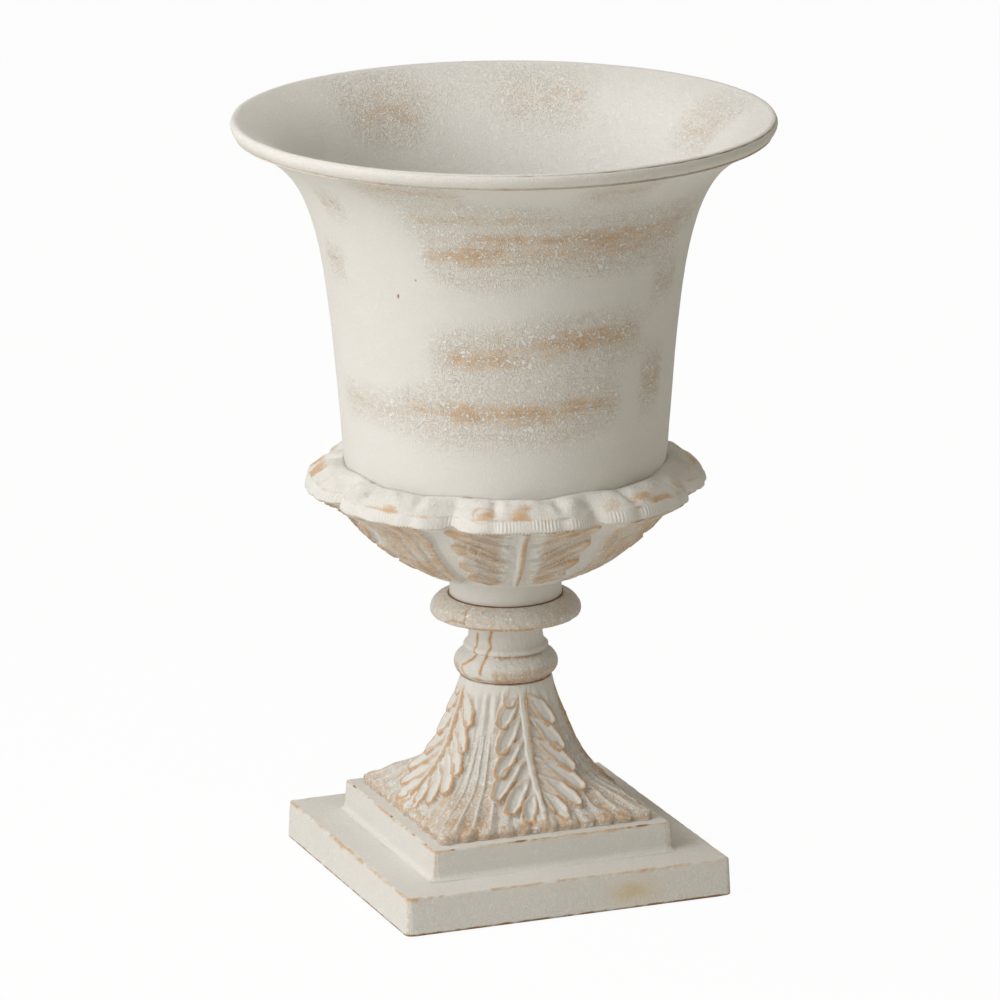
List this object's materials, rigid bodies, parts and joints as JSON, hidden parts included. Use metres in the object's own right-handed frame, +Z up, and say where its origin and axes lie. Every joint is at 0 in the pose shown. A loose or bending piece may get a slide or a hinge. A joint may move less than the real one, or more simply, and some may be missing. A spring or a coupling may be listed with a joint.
{
  "type": "urn vase",
  "caption": "Pedestal urn vase with a flared bell, a collar of turned-down leaves, a knopped stem and an acanthus foot on a stepped square plinth.",
  "frame": {"origin": "centre of the felt's underside, where the vase rests", "axes": "+Z up along the vase's axis; the plinth's sides lie along X and Y; one broad leaf of the cup points 15.5 degrees clockwise of -Y seen from above"},
  "size_m": [0.24, 0.24, 0.346],
  "materials": {
    "whitewash": "matte whitewash rubbed back to tan on the edges",
    "zinc_steel": "bright zinc plate",
    "black_rubber": "matte",
    "grey_felt": "pressed felt"
  },
  "bodies": {
    "root": {"bell": "whitewash", "leaf_cup": "whitewash", "stem": "whitewash", "foot": "whitewash", "tie_rod": "zinc_steel", "cap_nut": "zinc_steel", "top_washer": "zinc_steel", "sealing_washer": "black_rubber", "bridge_washer": "zinc_steel", "spring_washer": "zinc_steel", "hex_nut": "zinc_steel", "base_felt": "grey_felt"}
  },
  "joints": []
}
